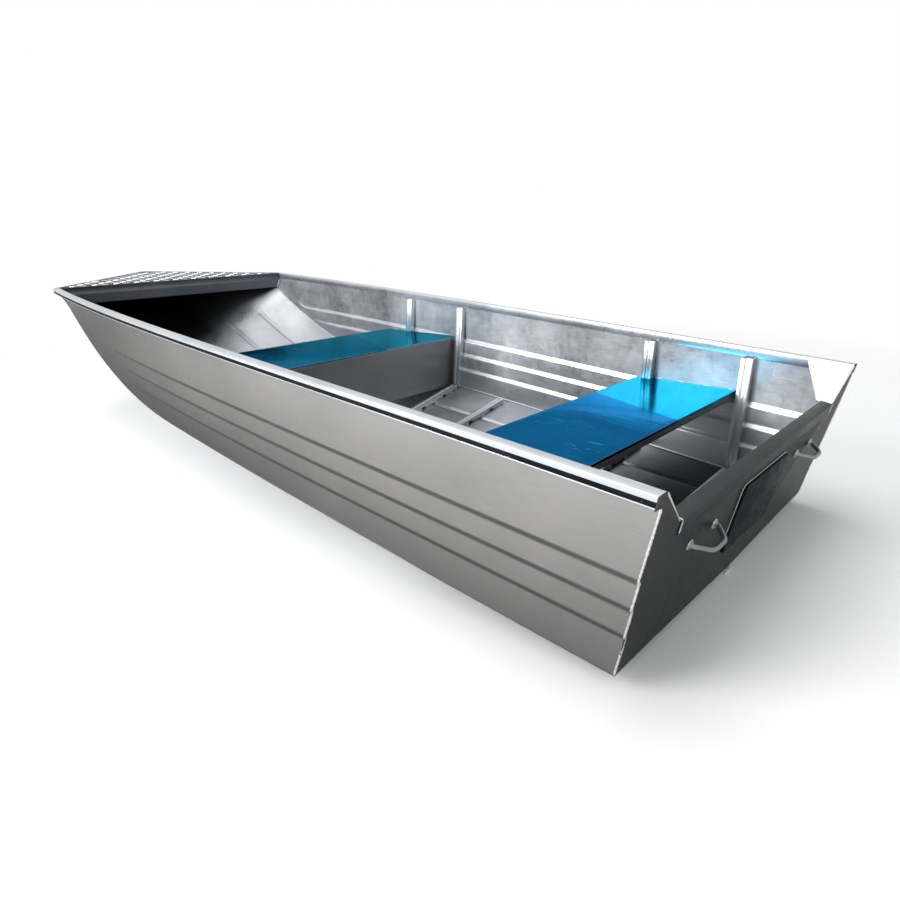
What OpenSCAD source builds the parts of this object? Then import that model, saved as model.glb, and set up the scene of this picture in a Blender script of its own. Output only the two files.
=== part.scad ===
// Open aluminium boat with a shallow V bottom, stepped sides and a pointed foredeck.
// +X runs to the bow, +Y to port, +Z up.  Lengths are in millimetres.

/* [Hull] */
// Length from the transom's foot to the bow corners
hull_l = 3360; // [3000:10:3800]
// Reach of the pointed bow ahead of its corners
bow_reach = 590; // [400:10:700]
// Half beam over the side sheets at the transom
stern_half = 676; // [600:1:740]
// Half beam that the sides bend to in the aft third
aft_half = 703; // [620:1:760]
// Half beam that the sides bend to in the forward third
fore_half = 779; // [700:1:840]
// Half beam over the side sheets at the bow corners
bow_half = 687; // [600:1:740]
// Height of the side at the transom, from the keel sheet to the gunwale's underside
side_h = 455; // [400:1:520]
// Rise of the gunwale from the stern to the bow corners
sheer_rise = 232; // [100:1:300]
// Lean of the transom, in degrees
rake = 11; // [0:0.5:15]
// Thickness of the hull sheets
sheet_t = 2.5; // [2:0.1:4]

/* [Bottom] */
// Half width of the bottom at the transom
chine_stern = 634; // [560:1:650]
// Half width that the chine bends to in the aft third
chine_aft = 690; // [640:1:700]
// Half width that the chine bends to in the forward third
chine_fore = 702; // [660:1:720]
// Half width of the bottom at the bow corners
chine_bow = 655; // [580:1:670]
// Height of the chine over the keel at the transom
chine_h = 20; // [10:1:40]
// Straight rise of the chine over the hull's length
chine_rise = 266; // [200:1:300]
// Share of the length at which the chine starts to sweep up
chine_turn = 0.62; // [0.5:0.01:0.7]
// Height that the chine's sweep adds at the bow corners
chine_sweep = 338; // [250:1:345]
// Share of the length at which the keel starts to lift
keel_turn = 0.59; // [0.5:0.01:0.7]
// Height of the keel at the bow corners
keel_lift = 330; // [250:1:400]
// Height and width of the ridges pressed into the bottom
ridge_h = 6; // [3:0.5:8]
ridge_w = 34; // [20:1:40]
// Height and width of the keel strip
keel_h = 15; // [10:1:25]
keel_w = 32; // [20:1:50]
// Distance of the runners from the keel, their width and length
runner_y = 160; // [120:5:240]
runner_w = 34; // [20:1:50]
runner_l = 1500; // [800:10:1800]

/* [Side steps] */
// Depth of each step pressed into the sides
step_in = 8; // [4:0.5:10]
// Height of a step's slope
step_slope = 13; // [8:0.5:16]
// Drop from the gunwale's underside to the first step
step_first = 164; // [120:1:190]
// Distance from one step to the next
step_pitch = 74; // [60:1:85]

/* [Gunwale] */
// Height of the gunwale extrusion
gun_h = 28; // [24:1:45]
// Overhang of the gunwale outside the side sheet
gun_out = 24; // [18:1:40]
// Overhang of the gunwale inside the side sheet
gun_in = 8; // [7:1:20]
// Wall of the extrusion
gun_t = 3; // [2:0.1:4]
// Height of the groove that holds the rubber fender
groove_h = 13; // [10:1:18]
// Depth of the extrusion's leg inside the side sheet
gun_lip = 34; // [20:1:40]

/* [Transom] */
// Height of the transom's low middle over the keel sheet
motor_h = 370; // [340:1:420]
// Half width of the low middle
low_half = 550; // [440:5:560]
// Width over the cap's top and depth of its legs
cap_w = 34; // [28:1:60]
cap_leg = 34; // [24:1:50]
// Width, height and thickness of the motor pad
pad_w = 320; // [240:5:400]
pad_h = 200; // [140:5:240]
pad_t = 8; // [4:0.5:16]
// Distance of the pad's top below the transom's low top
pad_drop = 54; // [45:1:110]
// Width of the corner knees along the gunwale and at the cap
knee_top = 135; // [100:5:180]
knee_foot = 45; // [36:1:60]
// Depth of the knees' folded edge
knee_fold = 11; // [6:1:20]

/* [Frames] */
// Width, height and sheet thickness of the hat-shaped frames
rib_w = 40; // [30:1:50]
rib_h = 20; // [14:1:28]
rib_t = 2.5; // [2:0.1:3]
// Distance of the forward frame ahead of the one at the front seat's panel
rib_1 = 385; // [345:5:525]
// Places of the other three frames from the transom's foot, on their middles
rib_2 = 1655; // [1620:1:1668]
rib_3 = 600; // [560:5:630]
rib_4 = 228; // [150:1:234]
// Place of the floor member between the seats
floor_mid = 1340; // [1000:5:1500]
// Width and height of the drain notches under the floor members
notch_w = 26; // [16:1:40]
notch_h = 9; // [5:1:12]

/* [Seats] */
// Height of the front seat's top over the keel sheet
seat_front_h = 412; // [390:1:440]
// Aft edge of the front seat and its width fore and aft
seat_front_x = 1690; // [1690:1:1750]
seat_front_w = 545; // [450:5:600]
// Depth of the panel below the front seat's aft edge
seat_panel = 254; // [180:1:265]
// Height of the aft seat's top over the keel sheet
seat_aft_h = 341; // [320:1:370]
// Aft edge of the aft seat and its width fore and aft
seat_aft_x = 257; // [257:1:300]
seat_aft_w = 388; // [360:1:420]
// Depth of the seats' folded edges
seat_fold = 28; // [20:1:40]
// Leg of the angles that carry the seats' ends
cleat_w = 28; // [20:1:36]

/* [Foredeck] */
// Distance of the foredeck's aft edge behind the bow corners
deck_back = 15; // [5:5:110]
// Thickness of the tread plate
deck_t = 3; // [2:0.1:5]
// Depth of the flange folded down at its aft edge
deck_flange = 92; // [60:1:94]

/* [Handles] */
// Distance of the handles from the middle and their height over the keel sheet
handle_y = 370; // [300:5:420]
handle_z = 268; // [220:1:300]
// Distance between a handle's feet and width of its grip
handle_feet = 132; // [110:1:160]
handle_grip = 64; // [50:1:90]
// Reach of the grip behind the transom and its thickness
handle_out = 48; // [35:1:60]
handle_d = 12; // [9:0.5:16]

/* [Hidden] */
$fn = 32;

// gap between pieces that seat on each other, and clearance that a weld fills
seat_gap = 0.3;
clear = 1;
// clear depth under the gunwale's inner leg
lip_under = gun_lip + clear;
// inset and bevel of the fender in its groove
fender_in = 1;
fender_bevel = 3;
gun_toe = gun_out - fender_in - fender_bevel;
// stations along the hull, and stations ahead of the bow corners
stations = 24;
bow_stations = 6;
rake_t = tan(rake);
sheer_t = sheer_rise / hull_l;
sheer_deg = atan(sheer_t);
// how sharply the chine and the keel sweep up
chine_power = 2.18;
keel_power = 1.57;
// room a step needs over the chine, the height over which it fades, and how faded steps stack
step_room = 20;
step_run = 60;
step_foot = 12;
step_stack = step_slope + clear;
// places of the ridges as shares of the bottom's half width, their widest share and their run-out
ridge_shares = [0.68, 0.38];
ridge_share = 0.2;
ridge_start = 20;
ridge_run = 120;
steps = [for (i = [0:2]) step_first + i * step_pitch];
stem_x = hull_l + bow_reach;
// half width at which the bottom ends at the stem, and its end below the edge there
stem_half = 12;
stem_low = 4;
// drop from the gunwale's underside to the bottom's edge, from the bow corners to the stem
bow_drop = side_h + sheer_rise - chine_h - chine_rise - chine_sweep;
// outer face of the transom's skin, and heights up its slope
skin_x = sheet_t + 2 * seat_gap;
low_s = up_transom(keel_h + motor_h);
top_s = up_transom(sheer_z(top_x(0)) + gun_h);
under_s = up_transom(sheer_z(top_x(0)));
stern_y = sheer_y(top_x(0));
knee_y = stern_y - gun_in - clear;
knee_start = 3;
// cap's ends short of the low middle's, and corner cut of the motor pad
cap_short = 6;
pad_corner = 10;
// sag of a handle's grip below its feet, and size of the feet
grip_sag = 6;
foot_t = 5;
foot_sink = 3;
foot_d = 2.4 * handle_d;
// ends of the boat, fore and aft, and the shift that puts the origin midway between them
nose_x = stem_x + 12;
deck_lap = 4;
deck_end = nose_x + deck_lap;
deck_x = hull_l - deck_back;
// aft end of the runners
runner_x = 60;
handle_end = sin(rake) * (up_transom(keel_h + handle_z) - grip_sag)
    + cos(rake) * (skin_x + handle_out - handle_d / 2) + handle_d / 2;
aft_end = max(handle_end, sin(rake) * top_s + cos(rake) * (sheet_t + seat_gap));
shift_x = (aft_end - deck_end) / 2;

// cubic through stern and bow values with two pull values between
function bend(t, a, b, c, d) =
    a * pow(1 - t, 3) + 3 * b * t * pow(1 - t, 2) + 3 * c * t * t * (1 - t) + d * pow(t, 3);
function clamp(v, low, high) = min(high, max(low, v));
function rise(t, turn, power) = t <= turn ? 0 : pow((t - turn) / (1 - turn), power);
// half beam over the side sheet at the gunwale, and height of the gunwale's underside
function sheer_y(x) = bend(x / hull_l, stern_half, aft_half, fore_half, bow_half);
function sheer_z(x) = keel_h + side_h + sheer_t * x;
function chine_y(x) = bend(x / hull_l, chine_stern, chine_aft, chine_fore, chine_bow);
function chine_z(x) = keel_h + chine_h + chine_rise * x / hull_l
    + chine_sweep * rise(x / hull_l, chine_turn, chine_power);
// the keel lifts along a curve, and steepens into the stem ahead of the corners
function keel_z(x) = keel_h + keel_lift * rise(x / hull_l, keel_turn, keel_power)
    + (x > hull_l ? stem_add * pow((x - hull_l) / bow_reach, 2) : 0);
stem_add = side_h + sheer_rise + sheer_t * bow_reach - bow_drop - stem_low
    - keel_lift * rise(stem_x / hull_l, keel_turn, keel_power);
// edge of the bottom: the chine, then the line from the bow corner to the stem
function edge_y(x) = x <= hull_l ? chine_y(x)
    : chine_bow + (stem_half - chine_bow) * (x - hull_l) / bow_reach;
function edge_z(x) = x <= hull_l ? chine_z(x) : sheer_z(x) - bow_drop;
// the sides lean with the transom at the stern and stand upright at the bow
function lean(x, z) = -rake_t * (z - keel_h - chine_h) * (1 - clamp(x / hull_l, 0, 1));
function top_x(x) = x + lean(x, keel_h + side_h);

// stepped outline of a side at station x, as [offset, height] down from the gunwale
function side_h_at(x) = sheer_z(top_x(x)) - chine_z(x);
function foot_z(x) = chine_z(x) + sheet_t + seat_gap;
function step_fade(x, i) = clamp((side_h_at(x) - steps[i] - step_room) / step_run, 0, 1);
function step_drop(x, i) =
    min(steps[i], side_h_at(x) - step_foot - step_stack * (2 - i) - step_slope);
function step_sum(x) = step_in * (step_fade(x, 0) + step_fade(x, 1) + step_fade(x, 2));
function side_point(x, z, stepped, in) =
    let (k = (z - chine_z(x)) / side_h_at(x), kk = min(k, 1),
         y0 = chine_y(x), y1 = sheer_y(top_x(x)))
    [x + (top_x(x) - x) * k, y0 + (y1 - y0 - step_sum(x)) * kk + stepped - in, z];
function sum_from(x, i) = i > 2 ? 0 : step_in * step_fade(x, i) + sum_from(x, i + 1);
// points down a side from its top edge to the chine, at a depth in from the outer face
function side_line(x, in) = let (top = sheer_z(top_x(x))) concat(
    [for (z = [top + gun_h - gun_t - seat_gap, top]) side_point(x, z, step_sum(x), in)],
    [for (i = [0:2]) each [
        side_point(x, top - step_drop(x, i), sum_from(x, i), in),
        side_point(x, top - step_drop(x, i) - step_slope, sum_from(x, i + 1), in)]],
    [side_point(x, foot_z(x), 0, in)]);
// inner face of a side at any place and height
function step_below(x, z, i) = step_in * step_fade(x, i)
    * clamp((sheer_z(x) - steps[i] - z) / step_slope, 0, 1);
function inner_y(x, z) = let (k = (z - chine_z(x)) / (sheer_z(x) - chine_z(x)))
    chine_y(x) + (sheer_y(x) - chine_y(x) - step_sum(x)) * k + step_sum(x)
    - step_below(x, z, 0) - step_below(x, z, 1) - step_below(x, z, 2) - sheet_t;
function under_z(x, y) = keel_z(x) + (edge_z(x) - keel_z(x)) * abs(y) / edge_y(x);
function floor_z(x, y) = under_z(x, y) + sheet_t;

// closed sheet between two surfaces, each a list of rows of points in step with the other
module sheet(a, b) {
    m = len(a);
    n = len(a[0]);
    o = m * n;
    polyhedron(
        points = concat([for (r = a) each r], [for (r = b) each r]),
        faces = concat(
            [for (j = [0:m - 2]) for (i = [0:n - 2]) let (p = j * n + i) each [
                [p, p + 1, p + n], [p + 1, p + n + 1, p + n],
                [o + p, o + p + n, o + p + 1], [o + p + 1, o + p + n, o + p + n + 1]]],
            [for (j = [0:m - 2]) let (p = j * n, q = p + n - 1) each [
                [p, p + n, o + p], [p + n, o + p + n, o + p],
                [q, o + q, q + n], [q + n, o + q, o + q + n]]],
            [for (i = [0:n - 2]) let (p = i, q = (m - 1) * n + i) each [
                [p, o + p, p + 1], [p + 1, o + p, o + p + 1],
                [q, q + 1, o + q], [q + 1, o + q + 1, o + q]]]),
        convexity = 10);
}

module placed() translate([shift_x, 0, 0]) children();
// the same piece to port, or mirrored to starboard
module handed(side) placed() if (side > 0) children(); else mirror([0, 1, 0]) children();
// the transom's own frame: X ahead of its plane, Y to port, Z up its slope from the chine
module in_transom() translate([0, 0, keel_h + chine_h]) rotate([0, -rake, 0]) children();
function up_transom(z) = (z - keel_h - chine_h) / cos(rake);

station_x = [for (i = [0:stations]) hull_l * i / stations];
bow_x = [for (i = [1:bow_stations]) hull_l + bow_reach * i / bow_stations];

// room inside the hull at station x, as a flat outline in Y and Z
function room_drop(x, i) = min(steps[i],
    sheer_z(x) - chine_z(x) - step_foot - step_stack * (2 - i) - step_slope);
function half_room(x) = concat(
    [let (z = sheer_z(x) + gun_h - lip_under) [inner_y(x, min(z, sheer_z(x))) - seat_gap, z]],
    [for (i = [0:2]) each [
        [inner_y(x, sheer_z(x) - room_drop(x, i)) - seat_gap, sheer_z(x) - room_drop(x, i) + clear],
        [inner_y(x, sheer_z(x) - room_drop(x, i) - step_slope) - seat_gap,
            sheer_z(x) - room_drop(x, i) - step_slope + clear]]],
    [[inner_y(x, floor_z(x, chine_y(x))) - seat_gap, floor_z(x, chine_y(x)) + seat_gap]]);
module room(x, w) translate([x - w / 2, 0, 0]) rotate([90, 0, 90]) linear_extrude(w)
    polygon(concat(half_room(x), [[0, floor_z(x, 0) + seat_gap]],
        [for (i = [len(half_room(x)) - 1:-1:0]) [-half_room(x)[i][0], half_room(x)[i][1]]]));

// hull sheets

module hull_bottom() {
    all_x = concat(station_x, bow_x);
    function half_y(x) = concat([edge_y(x)], [for (s = ridge_shares)
        for (d = [0.5, 0, -0.5]) s * edge_y(x) + d * min(ridge_w, ridge_share * edge_y(x))], [0]);
    function dip(x, i) = (i == 2 || i == 5)
        ? ridge_h * clamp(min(x - ridge_start, hull_l - x) / ridge_run, 0, 1) : 0;
    function row(x, up) = let (h = half_y(x), n = len(h)) concat(
        [for (i = [0:n - 1]) let (z = under_z(x, h[i]) - dip(x, i) + up) [x + lean(x, z), h[i], z]],
        [for (i = [n - 2:-1:0]) let (z = under_z(x, h[i]) - dip(x, i) + up) [x + lean(x, z), -h[i], z]]);
    color("#b9bcbe") placed() sheet([for (x = all_x) row(x, 0)], [for (x = all_x) row(x, sheet_t)]);
}

module side_sheet() color("#b4b2ae")
    sheet([for (x = station_x) side_line(x, 0)], [for (x = station_x) side_line(x, sheet_t)]);
module side_port() handed(1) side_sheet();
module side_starboard() handed(-1) side_sheet();

module transom() color("#8d9092") placed() in_transom()
    translate([-sheet_t - seat_gap, 0, 0]) rotate([90, 0, 90]) linear_extrude(sheet_t) {
        half = [[chine_stern, 0], [stern_y, under_s - clear], [stern_y + gun_out, under_s - clear],
            [stern_y + gun_out, top_s], [knee_y, top_s], [knee_y, top_s - gun_t], [low_half, low_s]];
        polygon(concat([[0, up_transom(keel_h)]], half,
            [for (i = [len(half) - 1:-1:0]) [-half[i][0], half[i][1]]]));
    }

module transom_cap() color("#9a9da0") placed() in_transom() {
    aft = -skin_x - sheet_t;
    fore = aft + cap_w;
    top = low_s + seat_gap;
    rotate([90, 0, 0]) linear_extrude(2 * (low_half - cap_short), center = true) polygon([
        [aft, top - cap_leg], [aft, top + sheet_t], [fore, top + sheet_t], [fore, top - cap_leg],
        [fore - sheet_t, top - cap_leg], [fore - sheet_t, top],
        [aft + sheet_t, top], [aft + sheet_t, top - cap_leg]]);
}

module motor_pad() color("#2a2e33") placed() in_transom()
    translate([-skin_x - pad_t, 0, low_s - pad_drop]) rotate([90, 0, 90]) linear_extrude(pad_t) {
        c = pad_corner;
        polygon([[-pad_w / 2 + c, 0], [pad_w / 2 - c, 0], [pad_w / 2, -c], [pad_w / 2, c - pad_h],
            [pad_w / 2 - c, -pad_h], [c - pad_w / 2, -pad_h], [-pad_w / 2, c - pad_h], [-pad_w / 2, -c]]);
    }

// the knees lean from the transom's own frame onto the gunwale's line
module knee() color("#c3c6c8") in_transom() {
    tilt = rake - sheer_deg;
    drop = top_s - gun_t - low_s;
    slip = drop * sin(tilt);
    length = norm([low_half - knee_y, drop * cos(tilt)]);
    translate([-sheet_t - seat_gap, knee_y, top_s - gun_t]) rotate([0, tilt, 0])
        rotate([atan2(-drop * cos(tilt), low_half - knee_y), 0, 0]) {
            translate([0, 0, -2 * seat_gap - sheet_t]) linear_extrude(sheet_t)
                polygon([[slip * knee_start / length, knee_start], [knee_top, knee_start],
                    [slip + knee_foot, length], [slip, length]]);
            // edge folded down along the fore side
            run = length - knee_start;
            back = knee_top - knee_foot - slip;
            translate([knee_top, knee_start, 0]) rotate([0, 0, atan2(run, -back)])
                translate([0, 0, -sheet_t]) cube([norm([back, run]), sheet_t, knee_fold]);
        }
}
module knee_port() handed(1) knee();
module knee_starboard() handed(-1) knee();

// gunwales and fenders

function gun_path(a) = let (t = gun_t, g = gun_t + groove_h) a == 0
    ? [[-gun_in, gun_h - gun_lip], [-gun_in, gun_h], [gun_out, gun_h], [gun_out, g],
        [t, g], [t, t], [gun_toe, t]]
    : [[t - gun_in, gun_h - gun_lip], [t - gun_in, gun_h - t], [gun_out - t, gun_h - t],
        [gun_out - t, g + t], [0, g + t], [0, 0], [gun_toe, 0]];
function along(x, path) = [for (p = path) let (z = sheer_z(top_x(x)) + p[1])
    [x + lean(x, z), sheer_y(top_x(x)) + p[0] + seat_gap, z]];
module gunwale() color("#dfe4e8")
    sheet([for (x = station_x) along(x, gun_path(0))], [for (x = station_x) along(x, gun_path(1))]);
module gunwale_port() handed(1) gunwale();
module gunwale_starboard() handed(-1) gunwale();

module fender() color("#15171a") {
    low = gun_t + seat_gap;
    high = gun_t + groove_h - seat_gap;
    out = gun_out - fender_in;
    sheet([for (x = station_x)
            along(x, [[gun_t + seat_gap, high], [gun_toe, high], [out, high - fender_bevel]])],
        [for (x = station_x)
            along(x, [[gun_t + seat_gap, low], [gun_toe, low], [out, low + fender_bevel]])]);
}
module fender_port() handed(1) fender();
module fender_starboard() handed(-1) fender();

// keel strip and runners

module keel_strip() color("#a5a8ab") placed() {
    all_x = concat(station_x, [for (i = [0:bow_stations - 2]) bow_x[i]]);
    sheet([for (x = all_x) [for (y = [-0.5, 0, 0.5] * keel_w) [x, y, keel_z(x) - keel_h]]],
        [for (x = all_x) [for (y = [-0.5, 0, 0.5] * keel_w) [x, y, under_z(x, y) - seat_gap]]]);
}

module runner() color("#a5a8ab") {
    all_x = [for (i = [0:10]) runner_x + runner_l * i / 10];
    sheet([for (x = all_x) [for (d = [-0.5, 0.5] * runner_w)
            [x, runner_y + d, under_z(x, runner_y) - under_z(runner_x, runner_y)]]],
        [for (x = all_x) [for (d = [-0.5, 0.5] * runner_w)
            [x, runner_y + d, under_z(x, runner_y + d) - seat_gap]]]);
}
module runner_port() handed(1) runner();
module runner_starboard() handed(-1) runner();

// foredeck

module bow_deck() color("#c9cccf") placed() {
    s = cos(sheer_deg);
    wide = bow_half + gun_out;
    narrow = bow_half - gun_in - clear;
    tip = stem_half + 2 * deck_lap;
    top = sheer_z(deck_x) + gun_h;
    translate([0, 0, keel_h + side_h + gun_h]) rotate([0, -sheer_deg, 0])
        translate([0, 0, -deck_t]) linear_extrude(deck_t) polygon([
            [deck_x / s, narrow], [(hull_l + seat_gap) / s, narrow], [(hull_l + seat_gap) / s, wide],
            [deck_end / s, tip], [deck_end / s, -tip],
            [(hull_l + seat_gap) / s, -wide], [(hull_l + seat_gap) / s, -narrow], [deck_x / s, -narrow]]);
    // flange folded down across the boat
    fold_x = deck_x + clear;
    neck = narrow - 2 * clear;
    tuck = lip_under + gun_t;
    intersection() {
        room(fold_x + sheet_t, 4 * sheet_t);
        translate([fold_x, -wide, top - deck_flange]) cube([sheet_t, 2 * wide, deck_flange - lip_under]);
    }
    translate([fold_x, -neck, top - tuck]) cube([sheet_t, 2 * neck, tuck - deck_t / 2]);
}

// plates round the bow, from the bottom's edge to the deck
module bow_edge() {
    function rim(x0, half, out) = [
        [hull_l + seat_gap, half + out], [x0 + out, stem_half + out],
        [x0 + out, -stem_half - out], [hull_l + seat_gap, -half - out]];
    function ring(out, up) = [for (p = rim(up ? nose_x : stem_x + seat_gap, up ? bow_half : chine_bow, out))
        [p[0], p[1], sheer_z(p[0]) + (up ? gun_h - deck_t - 2 * seat_gap : -bow_drop)]];
    color("#aeb2b5") placed()
        sheet([ring(seat_gap, false), ring(seat_gap, true)],
            [ring(seat_gap + sheet_t, false), ring(seat_gap + sheet_t, true)]);
}

// frames

// half widths and depth of the groove pressed along a frame's top
crease_top = 7;
crease_low = 4;
crease_h = 5;
// place of the forward frame
rib_1_x = rib_2 + rib_1;
// frames cut into the sides, floor members stop short of the chine, and their notches' places
rib_sink = 8;
floor_end = 12;
notch_y = [70, 400, 550];
function hat(w, h, t) = [
    [-w / 2, 0], [-w / 2, h], [-crease_top, h], [-crease_low, h - crease_h],
    [crease_low, h - crease_h], [crease_top, h], [w / 2, h],
    [w / 2, 0], [w / 2 - t, 0], [w / 2 - t, h - t], [crease_top + t / 2, h - t],
    [crease_low + t / 2, h - crease_h - t], [-crease_low - t / 2, h - crease_h - t],
    [-crease_top - t / 2, h - t], [t - w / 2, h - t], [t - w / 2, 0]];

module rib(x, low) color("#c6c9cb") intersection() {
    z0 = chine_z(x);
    z1 = sheer_z(x) + gun_h - gun_lip;
    y0 = chine_y(x);
    y1 = y0 + (sheer_y(x) - y0) * (z1 - z0) / (sheer_z(x) - z0);
    translate([x, y0, z0]) rotate([-atan2(y1 - y0, z1 - z0), 0, 0])
        rotate([0, 0, 180]) linear_extrude(norm([y1 - y0, z1 - z0]))
            polygon(hat(rib_w, rib_h + rib_sink, rib_t));
    room(x, rib_w + clear);
    translate([x - rib_w, 0, low]) cube([2 * rib_w, y1 + rib_sink, z1]);
}
module rib_1_port() handed(1) rib(rib_1_x, keel_h + seat_front_h + seat_gap);
module rib_1_starboard() handed(-1) rib(rib_1_x, keel_h + seat_front_h + seat_gap);
module rib_2_port() handed(1) rib(rib_2, 0);
module rib_2_starboard() handed(-1) rib(rib_2, 0);
module rib_3_port() handed(1) rib(rib_3, keel_h + seat_aft_h + seat_gap);
module rib_3_starboard() handed(-1) rib(rib_3, keel_h + seat_aft_h + seat_gap);
module rib_4_port() handed(1) rib(rib_4, 0);
module rib_4_starboard() handed(-1) rib(rib_4, 0);

module floor_member(x) color("#b3b6b8") placed() {
    reach = chine_y(x) - sheet_t - rib_h - floor_end;
    base = max(floor_z(x - rib_w / 2, 0), floor_z(x + rib_w / 2, 0)) + seat_gap;
    climb = max([for (d = [-0.5, 0.5] * rib_w) (floor_z(x + d, reach) - base)]) + seat_gap;
    slope = atan2(climb, reach);
    difference() {
        for (side = [1, -1]) mirror([0, side > 0 ? 0 : 1, 0]) translate([x, 0, base]) rotate([slope, 0, 0])
            rotate([-90, 0, 0]) mirror([0, 1, 0]) linear_extrude(norm([reach, climb]))
                polygon(hat(rib_w, rib_h, rib_t));
        for (y = notch_y) for (side = [1, -1])
            translate([x, side * y, base + climb * y / reach])
                cube([rib_w + 2 * clear, notch_w, 2 * notch_h], center = true);
    }
}
module floor_1() floor_member(rib_1_x);
module floor_2() floor_member(rib_2);
module floor_mid_member() floor_member(floor_mid);
module floor_3() floor_member(rib_3);
module floor_4() floor_member(rib_4);

// seats

function seat_edge(x, w, z, d) = [for (i = [0:8]) let (xi = x + w * i / 8)
    [xi, min(inner_y(xi, z), inner_y(xi, z - d)) - clear]];
module seat_top(x, w, z) {
    edge = seat_edge(x, w, z, sheet_t);
    translate([0, 0, z - sheet_t]) linear_extrude(sheet_t)
        polygon(concat(edge, [for (i = [8:-1:0]) [edge[i][0], -edge[i][1]]]));
}
module seat_lip(x, z, depth) intersection() {
    room(x + sheet_t / 2, sheet_t);
    translate([x, -fore_half, z - depth]) cube([sheet_t, 2 * fore_half, depth - sheet_t / 2]);
}

module seat_front() color("#1674b4") placed() {
    z = keel_h + seat_front_h;
    seat_top(seat_front_x, seat_front_w, z);
    seat_lip(seat_front_x, z, seat_panel);
    seat_lip(seat_front_x + seat_front_w - sheet_t, z, seat_fold);
}

module seat_aft() color("#1674b4") placed() {
    z = keel_h + seat_aft_h;
    seat_top(seat_aft_x, seat_aft_w, z);
    seat_lip(seat_aft_x, z, seat_fold);
    seat_lip(seat_aft_x + seat_aft_w - sheet_t, z, seat_fold);
}

// the angles stop short of the seats' edges
cleat_end = 40;
module cleat(x, w, z) {
    edges = concat(seat_edge(x, w, z - sheet_t, cleat_w), seat_edge(x, w, z, sheet_t));
    y = min([for (e = edges) e[1]]) - clear;
    length = w - 2 * cleat_end;
    for (side = [1, -1]) mirror([0, side > 0 ? 0 : 1, 0])
        translate([x + cleat_end, y, z - sheet_t - seat_gap]) {
            translate([0, -cleat_w, -sheet_t]) cube([length, cleat_w, sheet_t]);
            translate([0, -sheet_t, -cleat_w]) cube([length, sheet_t, cleat_w]);
        }
}
module cleats_front() color("#b3b6b8") placed() cleat(seat_front_x, seat_front_w, keel_h + seat_front_h);
module cleats_aft() color("#b3b6b8") placed() cleat(seat_aft_x, seat_aft_w, keel_h + seat_aft_h);

// lifting handles

module rod(p, q, d) {
    v = q - p;
    translate(p) rotate([0, acos(v[2] / norm(v)), atan2(v[1], v[0])]) cylinder(h = norm(v), d = d, $fn = 12);
}
// two round feet, and a bent grip whose bends are rounded by balls
module handle() color("#9da1a5") in_transom()
    translate([-skin_x, handle_y, up_transom(keel_h + handle_z)]) {
        foot = [-foot_sink, handle_feet / 2, 0];
        grip = [handle_d / 2 - handle_out, handle_grip / 2, -grip_sag];
        for (side = [1, -1]) mirror([0, side > 0 ? 0 : 1, 0]) {
            translate([0, handle_feet / 2, 0]) rotate([0, -90, 0]) cylinder(h = foot_t, d = foot_d, $fn = 24);
            rod(foot, grip, handle_d);
            translate(grip) sphere(d = handle_d, $fn = 12);
        }
        rod(grip, [grip[0], -grip[1], grip[2]], handle_d);
    }
module handle_port() handed(1) handle();
module handle_starboard() handed(-1) handle();

hull_bottom();
side_port();
side_starboard();
transom();
transom_cap();
motor_pad();
knee_port();
knee_starboard();
gunwale_port();
gunwale_starboard();
fender_port();
fender_starboard();
keel_strip();
runner_port();
runner_starboard();
bow_deck();
bow_edge();
rib_1_port();
rib_1_starboard();
rib_2_port();
rib_2_starboard();
rib_3_port();
rib_3_starboard();
rib_4_port();
rib_4_starboard();
floor_1();
floor_2();
floor_mid_member();
floor_3();
floor_4();
seat_front();
seat_aft();
cleats_front();
cleats_aft();
handle_port();
handle_starboard();
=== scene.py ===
import math
import random

import bmesh
import bpy
from mathutils import Matrix, Vector


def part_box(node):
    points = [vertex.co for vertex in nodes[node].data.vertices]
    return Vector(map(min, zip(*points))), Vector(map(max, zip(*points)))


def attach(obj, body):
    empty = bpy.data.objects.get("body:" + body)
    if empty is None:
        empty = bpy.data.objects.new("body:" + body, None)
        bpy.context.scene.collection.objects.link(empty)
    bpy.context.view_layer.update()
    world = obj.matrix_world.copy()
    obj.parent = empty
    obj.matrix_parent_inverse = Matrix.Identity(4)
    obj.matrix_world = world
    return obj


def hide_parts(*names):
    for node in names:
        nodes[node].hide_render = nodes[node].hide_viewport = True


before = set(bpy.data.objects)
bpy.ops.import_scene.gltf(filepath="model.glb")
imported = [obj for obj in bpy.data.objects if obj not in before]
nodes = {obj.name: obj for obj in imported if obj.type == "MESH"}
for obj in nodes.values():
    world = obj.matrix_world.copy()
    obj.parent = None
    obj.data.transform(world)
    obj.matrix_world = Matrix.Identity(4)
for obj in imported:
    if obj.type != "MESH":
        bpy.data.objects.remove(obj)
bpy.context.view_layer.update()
scene = bpy.context.scene
print("frame loaded:", len(nodes), "nodes")

# camera: stands off the port quarter and looks over the transom to the bow
cameraSetup = dict(
    place=(-2.4228, 1.6131, 0.9171),
    right=(-0.70712, -0.70633, -0.03279),
    up=(0.20256, -0.24678, 0.94767),
    lens=24.0, sensor=36, nearest=0.02, shiftX=0.0170, shiftY=-0.0109)


def addCamera(setup):
    right = Vector(setup["right"]).normalized()
    up = Vector(setup["up"])
    back = right.cross(up).normalized()
    up = back.cross(right)
    lensData = bpy.data.cameras.new("viewCamera")
    lensData.sensor_width = setup["sensor"]
    lensData.lens = setup["lens"]
    lensData.shift_x = setup["shiftX"]
    lensData.shift_y = setup["shiftY"]
    lensData.clip_start = setup["nearest"]
    eye = bpy.data.objects.new("viewCamera", lensData)
    turn = Matrix((right, up, back)).transposed().to_4x4()
    eye.matrix_world = Matrix.Translation(setup["place"]) @ turn
    scene.collection.objects.link(eye)
    scene.camera = eye


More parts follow.
